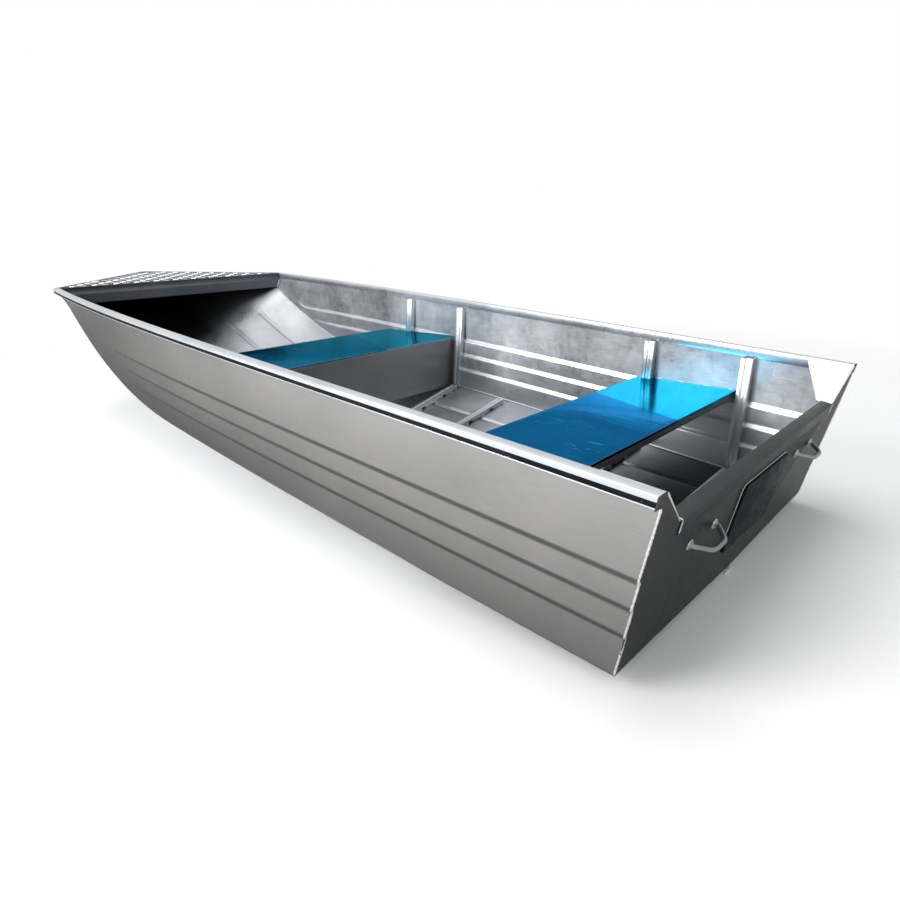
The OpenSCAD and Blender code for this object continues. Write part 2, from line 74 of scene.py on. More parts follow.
addCamera(cameraSetup)
print("camera placed")

# the hull's own sizes in millimetres, the same as in the CAD
hull = dict(
    length=3360, bowReach=590, halfAtGunwale=(676, 703, 779, 687),
    halfAtChine=(634, 690, 702, 655), sideHeight=455, sheerRise=232, rake=11,
    sheet=2.5, chineHeight=20, chineRise=266, chineTurn=0.62, chineSweep=338, chinePower=2.18,
    keelTurn=0.59, keelLift=330, keelPower=1.57, keelHigh=15, keelWide=32,
    ridgeDeep=6, ridgeWide=34, ridgeShares=(0.68, 0.38), ridgeFade=120,
    stepIn=8, stepSlope=13, stepTops=(164, 238, 312), stepFoot=12, stepStack=14,
    stepFadeFrom=20, stepFadeOver=60, seat=0.3, stemHalf=12, stemGap=4, noseReach=16)
gunwale = dict(high=28, out=23.9, inside=8, wall=3, groove=13, leg=34, foot=4, stations=112,
               round=1.4)
transomCut = dict(lowTop=370, lowHalf=550, capWide=34, padDrop=54, padHigh=200, padWide=320)
frameSpots = dict(ribs=((2040, 427), (1655, 0), (600, 356), (228, 0)), floorMid=1340)
hullLength = hull["length"]
keelHigh = hull["keelHigh"]
rakeSlope = math.tan(math.radians(hull["rake"]))
sheerSlope = hull["sheerRise"] / hullLength
stemX = hullLength + hull["bowReach"]
bowDrop = (hull["sideHeight"] + hull["sheerRise"] - hull["chineHeight"]
           - hull["chineRise"] - hull["chineSweep"])
# the CAD puts the origin midway along the boat: its nose tells how far
noseX = stemX + hull["noseReach"]
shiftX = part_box("bow_deck")[1].x * 1000 - noseX


def clamp(value, low, high):
    return min(high, max(low, value))


def bend(share, values):
    a, b, c, d = values
    rest = 1 - share
    return (a * rest ** 3 + 3 * b * share * rest ** 2
            + 3 * c * share ** 2 * rest + d * share ** 3)


def rise(share, turn, power):
    return 0 if share <= turn else ((share - turn) / (1 - turn)) ** power


def sheerY(x):
    return bend(x / hullLength, hull["halfAtGunwale"])


def sheerZ(x):
    return keelHigh + hull["sideHeight"] + sheerSlope * x


def chineY(x):
    return bend(x / hullLength, hull["halfAtChine"])


def chineZ(x):
    share = x / hullLength
    return (keelHigh + hull["chineHeight"] + hull["chineRise"] * share
            + hull["chineSweep"] * rise(share, hull["chineTurn"], hull["chinePower"]))


def keelSweep(x):
    return hull["keelLift"] * rise(x / hullLength, hull["keelTurn"], hull["keelPower"])


stemAdd = (hull["sideHeight"] + hull["sheerRise"] + sheerSlope * hull["bowReach"] - bowDrop
           - hull["stemGap"] - keelSweep(stemX))


def keelZ(x):
    beyond = max(0, x - hullLength) / hull["bowReach"]
    return keelHigh + keelSweep(x) + stemAdd * beyond ** 2


def edgeY(x):
    if x <= hullLength:
        return chineY(x)
    bowHalf = hull["halfAtChine"][3]
    return bowHalf + (hull["stemHalf"] - bowHalf) * (x - hullLength) / hull["bowReach"]


def edgeZ(x):
    return chineZ(x) if x <= hullLength else sheerZ(x) - bowDrop


def leanX(x, z):
    return -rakeSlope * (z - keelHigh - hull["chineHeight"]) * (1 - clamp(x / hullLength, 0, 1))


def topX(x):
    return x + leanX(x, keelHigh + hull["sideHeight"])


def underZ(x, y):
    return keelZ(x) + (edgeZ(x) - keelZ(x)) * abs(y) / edgeY(x)


def floorZ(x, y):
    return underZ(x, y) + hull["sheet"]


def sideHeightAt(x):
    return sheerZ(topX(x)) - chineZ(x)


def stepFade(x, i):
    spare = sideHeightAt(x) - hull["stepTops"][i] - hull["stepFadeFrom"]
    return clamp(spare / hull["stepFadeOver"], 0, 1)


def stepDrop(x, i):
    room = sideHeightAt(x) - hull["stepFoot"] - hull["stepStack"] * (2 - i) - hull["stepSlope"]
    return min(hull["stepTops"][i], room)


def stepSumFrom(x, i):
    return 0 if i > 2 else hull["stepIn"] * stepFade(x, i) + stepSumFrom(x, i + 1)


def sidePoint(x, z, stepped, inward):
    share = (z - chineZ(x)) / sideHeightAt(x)
    low = chineY(x)
    high = sheerY(topX(x))
    y = low + (high - low - stepSumFrom(x, 0)) * min(share, 1) + stepped - inward
    return Vector((x + (topX(x) - x) * share, y, z))


def sideLine(x, inward):
    top = sheerZ(topX(x))
    edge = top + gunwale["high"] - gunwale["wall"] - hull["seat"]
    points = [sidePoint(x, edge, stepSumFrom(x, 0), inward),
              sidePoint(x, top, stepSumFrom(x, 0), inward)]
    for i in range(3):
        drop = stepDrop(x, i)
        points.append(sidePoint(x, top - drop, stepSumFrom(x, i), inward))
        points.append(sidePoint(x, top - drop - hull["stepSlope"], stepSumFrom(x, i + 1), inward))
    points.append(sidePoint(x, chineZ(x) + hull["sheet"] + hull["seat"], 0, inward))
    return points


def innerY(x, z):
    low, high = chineY(x), sheerY(x)
    total = stepSumFrom(x, 0)
    share = (z - chineZ(x)) / (sheerZ(x) - chineZ(x))
    stepped = total
    for i in range(3):
        below = clamp((sheerZ(x) - hull["stepTops"][i] - z) / hull["stepSlope"], 0, 1)
        stepped -= hull["stepIn"] * stepFade(x, i) * below
    return low + (high - low - total) * share + stepped - hull["sheet"]


def inTransom(ahead, y, up):
    # the transom's own axes: ahead of its plane, to port, up its slope
    lean = math.radians(hull["rake"])
    x = ahead * math.cos(lean) - up * math.sin(lean)
    z = keelHigh + hull["chineHeight"] + ahead * math.sin(lean) + up * math.cos(lean)
    return Vector((x, y, z))


def upTransom(z):
    return (z - keelHigh - hull["chineHeight"]) / math.cos(math.radians(hull["rake"]))


# the outer face of the transom, behind the sheet's inner plane
transomSkin = -(hull["sheet"] + 2 * hull["seat"])


def toRow(point):
    return Vector(((point[0] + shiftX) / 1000, point[1] / 1000, point[2] / 1000))


def stationsBetween(first, last, count):
    return [first + (last - first) * i / count for i in range(count + 1)]


# mesh helpers: everything is written in millimetres of the boat and stored in the row frame
def makePiece(name, points, faces, slot, replaced=(), sharp=32):
    mesh = bpy.data.meshes.new(name)
    mesh.from_pydata([toRow(p) for p in points], [], faces)
    mesh.validate()
    finishMesh(mesh, sharp)
    piece = bpy.data.objects.new(name, mesh)
    scene.collection.objects.link(piece)
    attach(piece, "root")
    if replaced:
        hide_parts(*replaced)
    return piece


def finishMesh(mesh, sharp):
    work = bmesh.new()
    work.from_mesh(mesh)
    bmesh.ops.recalc_face_normals(work, faces=work.faces)
    work.to_mesh(mesh)
    work.free()
    mesh.polygons.foreach_set("use_smooth", [True] * len(mesh.polygons))
    mesh.set_sharp_from_angle(angle=math.radians(sharp))
    mesh.update()


def roundCorners(points, radius, closed=False, count=2):
    # each corner of a line becomes a short arc of count + 1 points
    out = []
    last = len(points)
    for i, corner in enumerate(points):
        if not closed and i in (0, last - 1):
            out.append(corner.copy())
            continue
        before = points[i - 1]
        after = points[(i + 1) % last]
        reach = min(radius, 0.45 * (before - corner).length, 0.45 * (after - corner).length)
        start = corner + (before - corner).normalized() * reach
        end = corner + (after - corner).normalized() * reach
        for j in range(count + 1):
            t = j / count
            out.append(start * (1 - t) ** 2 + corner * 2 * t * (1 - t) + end * t ** 2)
    return out


def sheetPiece(name, outerRows, innerRows, slot, replaced=(), marks=None):
    rows, width = len(outerRows), len(outerRows[0])
    points = [p for row in outerRows for p in row] + [p for row in innerRows for p in row]
    offset = rows * width
    faces = []
    for j in range(rows - 1):
        for i in range(width - 1):
            p = j * width + i
            faces.append((p, p + 1, p + width + 1, p + width))
            faces.append((offset + p, offset + p + width, offset + p + width + 1, offset + p + 1))
    for j in range(rows - 1):
        for p in (j * width, j * width + width - 1):
            faces.append((p, p + width, offset + p + width, offset + p))
    for i in range(width - 1):
        for p in (i, (rows - 1) * width + i):
            faces.append((p, offset + p, offset + p + 1, p + 1))
    piece = makePiece(name, points, faces, slot, replaced)
    for mark, values in (marks or {}).items():
        layer = piece.data.attributes.new(mark, "FLOAT", "POINT")
        for j in range(rows):
            for i in range(width):
                layer.data[j * width + i].value = values[j][i]
    return piece


def ringFaces(base, count, rings):
    # the quads between rings of equal count that follow each other from a first point
    faces = []
    for first in range(base, base + (rings - 1) * count, count):
        for k in range(count):
            n = (k + 1) % count
            faces.append((first + k, first + n, first + count + n, first + count + k))
    return faces


def circle(count, radius):
    angles = [2 * math.pi * k / count for k in range(count)]
    return [(radius * math.cos(angle), radius * math.sin(angle)) for angle in angles]


def barPiece(name, sections, slot, replaced=(), sharp=32):
    # a bar from closed sections of equal count, with its ends closed
    width = len(sections[0])
    points = [p for section in sections for p in section]
    faces = ringFaces(0, width, len(sections))
    faces.append(tuple(range(width)))
    faces.append(tuple(range((len(sections) - 1) * width, len(sections) * width)))
    return makePiece(name, points, faces, slot, replaced, sharp)


def mirrored(rows):
    return [[Vector((p[0], -p[1], p[2])) for p in row] for row in rows]


# hull sheets, with many stations so that the metal bends in one clean sweep
hullMeshes = dict(stations=112, bowStations=26, stepRound=5, ridgeRound=6)
keelMesh = dict(stations=84, bowStations=20, round=2.5)


def addSides(look):
    stations = stationsBetween(0, hullLength, look["stations"])
    outer = [roundCorners(sideLine(x, 0), look["stepRound"]) for x in stations]
    inner = [roundCorners(sideLine(x, hull["sheet"]), look["stepRound"]) for x in stations]
    crease = [[stepCrease(x, i) for i in range(len(outer[0]))] for x in stations]
    # painted shade, carried as a mark on each sheet's outer face: port darker low and ahead,
    # starboard darker along its top
    portShade, starboardShade = ([[measure(x, p.z) for p in row] for x, row in zip(stations, outer)]
                     for measure in (shadeLowAndAhead, stain))
    return [
        sheetPiece("sideSheet_port", outer, inner, "hull_sheet", ["side_port"],
                   dict(crease=crease, paintedShade=portShade)),
        sheetPiece("sideSheet_starboard", mirrored(outer), mirrored(inner), "hull_sheet",
                   ["side_starboard"], dict(crease=crease, paintedShade=starboardShade))]


def stepCrease(x, i):
    # 1 on the slope of a step, where painted shade darkens the sheet, and 0 on the flats
    step, place = divmod(i - 4, 6)
    return stepFade(x, step) if 0 <= step < 3 and place in (1, 2, 3, 4) else 0


def shadeLowAndAhead(x, z):
    # painted shade: the outer face darkens toward the chine and toward the bow
    low = clamp((sheerZ(x) - z) / sideHeightAt(x), 0, 1)
    ahead = clamp(x / hullLength, 0, 1)
    return clamp(0.72 * low ** 1.3 + 0.42 * ahead ** 1.5 + 0.55 * low * ahead ** 2, 0, 1)


def stain(x, z):
    # painted shade: the starboard sheet darkens along its top, more so toward the bow
    low = clamp((sheerZ(x) - z) / sideHeightAt(x), 0, 1)
    return clamp((1 - low) ** 0.8 * (0.30 + 0.75 * clamp(x / hullLength, 0, 1) ** 1.2), 0, 1)


def bottomRow(x, up, look):
    wide = edgeY(x)
    half = [wide]
    for share in hull["ridgeShares"]:
        half += [share * wide + d * min(hull["ridgeWide"], 0.2 * wide) for d in (0.5, 0, -0.5)]
    half.append(0)
    fade = clamp(min(x - 20, hullLength - x) / hull["ridgeFade"], 0, 1)
    row = []
    for i, y in enumerate(half):
        z = underZ(x, y) - (hull["ridgeDeep"] * fade if i in (2, 5) else 0) + up
        row.append(Vector((x + leanX(x, z), y, z)))
    return roundCorners(row + mirrored([row[-2::-1]])[0], look["ridgeRound"])


def addBottom(look):
    stations = (stationsBetween(0, hullLength, look["stations"])
                + stationsBetween(hullLength, stemX, look["bowStations"])[1:])
    return sheetPiece(
        "bottomSheet", [bottomRow(x, 0, look) for x in stations],
        [bottomRow(x, hull["sheet"], look) for x in stations], "hull_sheet", ["hull_bottom"])


sides = addSides(hullMeshes)
bottom = addBottom(hullMeshes)
print("hull sheets made")

# gunwale extrusions with their black fender strips, the keel strip and the runners
def gunwaleSection(x):
    t = gunwale["wall"]
    g = t + gunwale["groove"]
    high, out, inside = gunwale["high"], gunwale["out"], gunwale["inside"]
    lip, foot = high - gunwale["leg"], out - gunwale["foot"]
    outline = [(-inside, lip), (-inside, high), (out, high), (out, g), (t, g), (t, t), (foot, t),
               (foot, 0), (0, 0), (0, g + t), (out - t, g + t), (out - t, high - t),
               (t - inside, high - t), (t - inside, lip)]
    return alongGunwale(x, outline, gunwale["round"])


def alongGunwale(x, outline, radius):
    points = []
    for across, up in outline:
        z = sheerZ(topX(x)) + up
        points.append(Vector((x + leanX(x, z), sheerY(topX(x)) + across + hull["seat"], z)))
    return roundCorners(points, radius, closed=True)


fender = dict(shoulder=4, inset=0.6, crown=3.4, round=1.5)


def fenderSection(x):
    low = gunwale["wall"] + hull["seat"]
    high = gunwale["wall"] + gunwale["groove"] - hull["seat"]
    shoulder, face = (gunwale["out"] - fender[part] for part in ("shoulder", "inset"))
    outline = [(low, high), (shoulder, high), (face, high - fender["crown"]),
               (face, low + fender["crown"]), (shoulder, low), (low, low)]
    return alongGunwale(x, outline, fender["round"])


def keelSection(x):
    half = hull["keelWide"] / 2
    points = [Vector((x, half, keelZ(x) - keelHigh)), Vector((x, -half, keelZ(x) - keelHigh)),
              Vector((x, -half, underZ(x, half) - hull["seat"])),
              Vector((x, 0, underZ(x, 0) - hull["seat"])),
              Vector((x, half, underZ(x, half) - hull["seat"]))]
    return roundCorners(points, keelMesh["round"], closed=True)


def addRails():
    stations = stationsBetween(0, hullLength, gunwale["stations"])
    rails = [gunwaleSection(x) for x in stations]
    strips = [fenderSection(x) for x in stations]
    bowEnd = stemX - hull["bowReach"] / 6
    keelStations = (stationsBetween(0, hullLength, keelMesh["stations"])
                    + stationsBetween(hullLength, bowEnd, keelMesh["bowStations"])[1:])
    made = dict(rails=[], strips=[])
    kinds = (("rails", rails, "gunwaleRail_", "extrusion", "gunwale_"),
             ("strips", strips, "fenderStrip_", "rubber", "fender_"))
    for side in ("port", "starboard"):
        for kind, rows, name, slot, node in kinds:
            turned = rows if side == "port" else mirrored(rows)
            made[kind].append(barPiece(name + side, turned, slot, [node + side]))
    made["keel"] = barPiece("keelBar", [keelSection(x) for x in keelStations], "extrusion",
                            ["keel_strip"])
    return made


rails = addRails()
print("gunwales, fenders and keel made")

# flat-sheet pieces keep the CAD's shape and get their cut edges broken
softEdge = dict(width=0.55, steps=2, minAngle=28)


def softenNode(node, name, width=None, steps=None):
    mesh = nodes[node].data.copy()
    work = bmesh.new()
    work.from_mesh(mesh)
    bmesh.ops.remove_doubles(work, verts=work.verts, dist=2e-6)
    bmesh.ops.dissolve_limit(
        work, angle_limit=math.radians(0.6), verts=work.verts, edges=work.edges)
    minAngle = math.radians(softEdge["minAngle"])
    edges = [e for e in work.edges
             if len(e.link_faces) == 2 and e.calc_face_angle(0) > minAngle]
    bmesh.ops.bevel(
        work, geom=edges, offset=(width or softEdge["width"]) / 1000, offset_type="OFFSET",
        segments=steps or softEdge["steps"], profile=0.5, affect="EDGES", clamp_overlap=True)
    work.to_mesh(mesh)
    work.free()
    mesh.materials.clear()
    mesh.name = name
    finishMesh(mesh, 40)
    piece = bpy.data.objects.new(name, mesh)
    scene.collection.objects.link(piece)
    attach(piece, "root")
    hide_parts(node)
    return piece


framePieces = []
for number in range(1, 5):
    for side in ("port", "starboard"):
        node = f"rib_{number}_{side}"
        framePieces.append(softenNode(node, f"sideRib_{number}_{side}"))
    framePieces.append(softenNode(f"floor_{number}", f"floorHat_{number}"))
framePieces.append(softenNode("floor_mid_member", "floorHat_mid"))
for node in ("cleats_front", "cleats_aft"):
    framePieces.append(softenNode(node, "seatCleats_" + node.split("_")[1]))
runnerPieces = [softenNode(f"runner_{side}", f"runnerBar_{side}", 2)
                for side in ("port", "starboard")]
transomPiece = softenNode("transom", "transomSheet")
capPiece = softenNode("transom_cap", "transomCap", 1.1, 3)
padPiece = softenNode("motor_pad", "motorPad", 1.2, 3)
kneePieces = [softenNode(f"knee_{side}", f"cornerKnee_{side}")
              for side in ("port", "starboard")]
deckPiece = softenNode("bow_deck", "deckPlate")
bowPiece = softenNode("bow_edge", "bowPlates", 1.0)
seatPieces = [softenNode("seat_front", "benchFront", 1.0, 3),
              softenNode("seat_aft", "benchAft", 1.0, 3)]
print("flat sheets softened:", len(framePieces) + 11)

# blue protective film on the benches, cut a little raggedly and turned over their edges
filmCut = dict(thick=0.3, over=0.35, steps=36, ragged=2.4, seed=5, keepIn=24, topRows=18,
               turnRound=1.6, ripple=0.12,
               benches=dict(Front=dict(x=1690, wide=545, z=427, aftTurn=5, foreTurn=24),
                            Aft=dict(x=257, wide=388, z=356, aftTurn=9, foreTurn=25)))


def benchHalf(x, z):
    return min(innerY(x, z), innerY(x, z - hull["sheet"])) - 1


def addFilm(label, bench):
    rng = random.Random(filmCut["seed"])
    x0, x1, z = bench["x"], bench["x"] + bench["wide"], bench["z"]
    over = filmCut["over"]
    line = [Vector((x0 - over, 0, z - bench["aftTurn"])), Vector((x0 - over, 0, z + over))]
    line += [Vector((x, 0, z + over)) for x in stationsBetween(
        x0 + filmCut["keepIn"], x1 - filmCut["keepIn"], filmCut["topRows"])]
    line += [Vector((x1 + over, 0, z + over)), Vector((x1 + over, 0, z - bench["foreTurn"]))]
    aftTurn, foreTurn = (roundCorners(part, filmCut["turnRound"], count=4)[1:-1]
                         for part in (line[:3], line[-3:]))
    line = line[:1] + aftTurn + line[2:-2] + foreTurn + line[-1:]
    rows, under = [], []
    lift = filmCut["thick"]
    for p in line:
        inside = clamp(p.x, x0 + 0.5, x1 - 0.5)
        trims = [rng.uniform(2, 2 + filmCut["ragged"]) for _ in range(2)]
        # the film stops short of the frames that stand on the bench's ends
        half = benchHalf(inside, z)
        row = []
        for i in range(filmCut["steps"] + 1):
            share = 2 * i / filmCut["steps"] - 1
            reach = half - trims[0 if share < 0 else 1]
            ripple = filmCut["ripple"] * math.sin(9.1 * share + 0.021 * p.x) if z < p.z + 0.2 else 0
            row.append(Vector((p.x, reach * share, p.z + ripple * (1 - abs(share)) ** 0.5)))
        rows.append(row)
        drop = lift if p.z > z else 0
        under.append([Vector((q.x, q.y, q.z - drop)) for q in row])
    for row, low in ((rows[0], under[0]), (rows[-1], under[-1])):
        for q, r in zip(row, low):
            r.x = q.x + (lift if q.x < x0 else -lift)
    return sheetPiece("benchFilm" + label, rows, under, "seat_film")


films = [addFilm(label, bench) for label, bench in filmCut["benches"].items()]
print("bench films cut")

# raised bars of the foredeck's tread plate, in fives that turn by a right angle
tread = dict(long=27, wide=6.5, high=1.5, pitch=11.5, cell=58, margin=14, deckFrom=3345,
             aft=10, halfSpan=700, noseClear=70)


def deckPoint(x, y):
    return Vector((x, y, sheerZ(x) + gunwale["high"]))


def deckHalf(x):
    corner = hull["halfAtGunwale"][3]
    if x <= hullLength:
        return corner - gunwale["inside"] - 1
    wide = corner + gunwale["out"]
    return wide + (20 - wide) * (x - hullLength) / (noseX - hullLength)


def addTreadBars(look):
    points, faces = [], []
    cell = look["cell"]
    first, last = look["deckFrom"] + look["aft"], noseX - look["noseClear"]
    rows = int((last - first) / cell) + 1
    columns = int(2 * look["halfSpan"] / cell) + 2
    outline = [(-0.5, 0), (-0.3, -0.5), (0.3, -0.5), (0.5, 0), (0.3, 0.5), (-0.3, 0.5)]
    for row in range(rows):
        for column in range(-columns // 2, columns // 2 + 1):
            turned = (row + column) % 2 == 0
            heading = math.radians(45 if turned else -45)
            for bar in range(-2, 3):
                side = bar * look["pitch"]
                cx = first + (row + 0.5) * cell - side * math.sin(heading)
                cy = (column + 0.5) * cell + side * math.cos(heading)
                length = look["long"] * (1 - 0.12 * abs(bar))
                reach = 0.5 * length * 0.7 + look["margin"]
                if cx + reach > last or cx - reach < first - 8:
                    continue
                if abs(cy) + reach > min(deckHalf(cx - reach), deckHalf(cx + reach)):
                    continue
                base = len(points)
                for scale, up in ((1, -0.2), (0.93, 0.55), (0.62, 1)):
                    for a, b in outline:
                        dx = a * length * (1 - 0.12 * (1 - scale))
                        dy = b * look["wide"] * scale
                        x = cx + dx * math.cos(heading) - dy * math.sin(heading)
                        y = cy + dx * math.sin(heading) + dy * math.cos(heading)
                        spot = deckPoint(x, y)
                        spot.z += look["high"] * up
                        points.append(spot)
                faces += ringFaces(base, 6, 3)
                faces.append(tuple(base + 12 + i for i in range(6)))
    return makePiece("treadBars", points, faces, "tread_plate", sharp=50)


treadBars = addTreadBars(tread)
print("tread bars made:", len(treadBars.data.polygons))

# cast lifting handles: a bent grip between two round feet
handle = dict(y=370, z=268, feet=132, grip=64, out=48, thick=12, footWide=22, sag=6,
              root=2, stub=9, bend=15, sides=14, footSides=24)
handleUp = upTransom(keelHigh + handle["z"])


def addHandle(name, node, side):
    out = handle["out"] - handle["thick"] / 2
    half = handle["feet"] / 2
    corners = [Vector((handle["root"], -half, 0)), Vector((handle["stub"], -half, 0)),
               Vector((out, -handle["grip"] / 2, -handle["sag"])),
               Vector((out, handle["grip"] / 2, -handle["sag"])),
               Vector((handle["stub"], half, 0)), Vector((handle["root"], half, 0))]
    line = roundCorners(corners, handle["bend"], count=5)
    fine = []
    for a, b in zip(line, line[1:]):
        parts = max(1, int((b - a).length / 5))
        fine += [a.lerp(b, j / parts) for j in range(parts)]
    fine.append(line[-1])
    sections = []
    total = len(fine) - 1
    for i, p in enumerate(fine):
        ahead = (fine[min(i + 1, total)] - fine[max(i - 1, 0)]).normalized()
        across = ahead.cross(Vector((0, 0, 1)))
        across = across.normalized() if across.length > 1e-4 else Vector((1, 0, 0))
        upward = across.cross(ahead).normalized()
        near = min(p.x - handle["root"], 16) / 16
        radius = handle["thick"] / 2 * (1 + 0.28 * (1 - near) ** 2) * 0.985
        ring = []
        for a, b in circle(handle["sides"], radius):
            q = p + across * a + upward * b
            q.x = max(q.x, 0.4)
            y = side * (handle["y"] + q.y)
            ring.append(inTransom(transomSkin - q.x, y, handleUp + q.z))
        sections.append(ring)
    return barPiece(name, sections, "cast_handle", [node], sharp=60)


def addFoot(name, side, foot):
    rings = [(0.0, 1.0), (2.6, 1.0), (4.2, 0.9), (5.2, 0.72), (7.5, 0.62)]
    sections = []
    for out, scale in rings:
        ring = []
        for k in range(handle["footSides"]):
            angle = 2 * math.pi * k / handle["footSides"]
            lump = 1 + 0.03 * math.sin(3 * angle + foot)
            radius = handle["footWide"] / 2 * scale * lump
            y = handle["y"] + foot * handle["feet"] / 2 + radius * math.cos(angle)
            up = handleUp + radius * math.sin(angle)
            ring.append(inTransom(transomSkin - out, side * y, up))
        sections.append(ring)
    return barPiece(name, sections, "cast_handle", sharp=60)


handles = []
for side, label in ((1, "port"), (-1, "starboard")):
    handles.append(addHandle("liftHandle_" + label, "handle_" + label, side))
    handles.append(addFoot("handleFoot_inner_" + label, side, -1))
    handles.append(addFoot("handleFoot_outer_" + label, side, 1))
print("handles made")

# weld beads: a row of small overlapping ripples
bead = dict(ripple=4.2, ringsEach=3, sides=7, squash=0.8, seed=11)
# how far the beads stand from their members' middles, and where the long seams begin and end
seams = dict(ribEdge=20.6, floorEdge=20.4, footRound=11.2,
             flange=dict(x=3347, sideX=3350, low=641, high=690),
             under=((16.6, 40, 3700, 60), (142.6, 70, 1540, 30), (177.4, 70, 1540, 30)))


def addBeads(name, lines, radius, slot="hull_sheet"):
    # lines: lists of points along each bead
    rng = random.Random(bead["seed"])
    points, faces = [], []
    wide = bead["sides"]
    for line in lines:
        step = bead["ripple"] / bead["ringsEach"]
        lengths = [0]
        for a, b in zip(line, line[1:]):
            lengths.append(lengths[-1] + (b - a).length)
        count = max(4, int(lengths[-1] / step))
        spot = wobble = 0
        base = len(points)
        for i in range(count + 1):
            want = lengths[-1] * i / count
            while spot < len(line) - 2 and lengths[spot + 1] < want:
                spot += 1
            span = max(1e-6, lengths[spot + 1] - lengths[spot])
            p = line[spot].lerp(line[spot + 1], clamp((want - lengths[spot]) / span, 0, 1))
            ahead = (line[spot + 1] - line[spot]).normalized()
            across = ahead.cross(Vector((0.31, 0.22, 0.93))).normalized()
            upward = across.cross(ahead)
            phase = (i % bead["ringsEach"]) / bead["ringsEach"]
            if i % bead["ringsEach"] == 0:
                wobble = rng.uniform(0.82, 1.15)
            ends = min(1, (min(i, count - i) + 0.6) / 3)
            swell = 0.74 + 0.3 * math.sin(math.pi * (0.15 + 0.8 * phase))
            size = radius * wobble * swell * ends
            points += [p + across * a + upward * b * bead["squash"]
                       for a, b in circle(wide, size)]
        faces += ringFaces(base, wide, count + 1)
        faces.append(tuple(base + k for k in range(wide)))
        faces.append(tuple(base + count * wide + k for k in range(wide)))
    return makePiece(name, points, faces, slot, sharp=75)


def bothSides(lines):
    return lines + mirrored(lines)


def stitched(line, length, gap):
    # short beads of a given length along a line, a gap apart
    out, run = [], 0.0
    total = sum((b - a).length for a, b in zip(line, line[1:]))

    def at(distance):
        left = clamp(distance, 0, total)
        for a, b in zip(line, line[1:]):
            span = (b - a).length
            if left <= span:
                return a.lerp(b, left / span if span else 0)
            left -= span
        return line[-1].copy()

    while run + length <= total:
        out.append([at(run), at(run + length / 2), at(run + length)])
        run += length + gap
    return out


def sternCornerLine():
    # where the side sheets meet the transom, from the chine to the gunwale
    points = []
    for p in sideLine(0, 0)[1:]:
        points.append(Vector((p.x - 1.2, p.y + 0.6, p.z)))
    points.reverse()
    points[-1].z -= 3
    return points


def chineLine():
    return [Vector((x, chineY(x) - 3.2, chineZ(x) + 6)) for x in stationsBetween(40, 3330, 60)]


def bowSeams():
    low = Vector((hullLength + 1.5, hull["halfAtChine"][3] + 1.5, sheerZ(hullLength) - bowDrop))
    high = Vector((hullLength + 1.5, hull["halfAtGunwale"][3] + 1.5, sheerZ(hullLength) + 1))
    stemLow = Vector((stemX + 3, 12, sheerZ(stemX) - bowDrop))
    return [[low, high], [low, stemLow]]


def transomEdge():
    points = []
    for share in (0.02, 0.25, 0.5, 0.75, 0.985):
        y = hull["halfAtChine"][0] * share
        points.append(Vector((leanX(0, underZ(0, y)) - 1.6, y, underZ(0, y) - 0.2)))
    return points


def ribEdgeLines():
    lines = []
    for x, low in frameSpots["ribs"]:
        for edge in (-1, 1):
            xe = x + edge * seams["ribEdge"]
            start = max(low + 12, floorZ(xe, chineY(xe)) + 16)
            line = [Vector((xe, innerY(xe, z) + 0.4, z))
                    for z in stationsBetween(start, sheerZ(xe) - 8, 26)]
            lines += stitched(line, 16, 58)
    return lines


def floorEdgeLines():
    lines = []
    for x in [rib[0] for rib in frameSpots["ribs"]] + [frameSpots["floorMid"]]:
        for edge in (-1, 1):
            xe = x + edge * seams["floorEdge"]
            line = [Vector((xe, y, floorZ(xe, y) + 0.6))
                    for y in stationsBetween(16, chineY(xe) - 46, 12)]
            lines += stitched(line, 22, 96)
    return lines


def gunwaleLipLines():
    line = []
    for x in stationsBetween(70, hullLength - 60, 60):
        z = sheerZ(topX(x)) + gunwale["high"] - gunwale["leg"] - 1
        line.append(Vector((x + leanX(x, z), sheerY(topX(x)) - 4.4, z)))
    return stitched(line, 14, 150)


def flangeLines():
    seam = seams["flange"]
    return [[Vector((seam["x"], innerY(seam["sideX"], z) - 0.4, z))
             for z in stationsBetween(seam["low"], seam["high"], 5)]]


def seatEndLines():
    lines = []
    for bench in filmCut["benches"].values():
        first, z = bench["x"], bench["z"]
        line = [Vector((x, innerY(x, z) - 0.2, z + 0.4))
                for x in stationsBetween(first + 8, first + bench["wide"] - 8, 12)]
        lines += stitched(line, 24, 70)
    return lines


def capLines():
    up = upTransom(keelHigh + transomCut["lowTop"])
    end = transomCut["lowHalf"] - 8
    fore = transomCut["capWide"] - 8
    return [[inTransom(-5.4, y, up - 30), inTransom(-5.4, y, up + 2.6),
             inTransom(fore, y, up + 2.8)] for y in (end, -end)]


def padLines():
    # a fine bead runs round the pad's sides and top
    up = upTransom(keelHigh + transomCut["lowTop"]) - transomCut["padDrop"]
    half, foot = transomCut["padWide"] / 2, 12 - transomCut["padHigh"]
    outline = [(-half - 0.6, foot), (-half - 0.6, -10), (9.6 - half, 0.6), (half - 9.6, 0.6),
               (half + 0.6, -10), (half + 0.6, foot)]
    return [[inTransom(-3.5, y, up + drop) for y, drop in outline]]


def kneeLines():
    top = upTransom(sheerZ(topX(0)) + gunwale["high"]) - 3
    low = upTransom(keelHigh + transomCut["lowTop"])
    start = sheerY(topX(0)) - gunwale["inside"] - 1
    end = inTransom(-2.2, transomCut["lowHalf"], low + 2)
    return [[inTransom(-2.2, start, top - 1), end]]


def keelLines():
    # beside the keel strip, and along both edges of each runner
    lines = []
    for y, first, last, count in seams["under"]:
        line = [Vector((x, y, underZ(x, y) - 0.8)) for x in stationsBetween(first, last, count)]
        lines += stitched(line, 30, 120)
    return lines


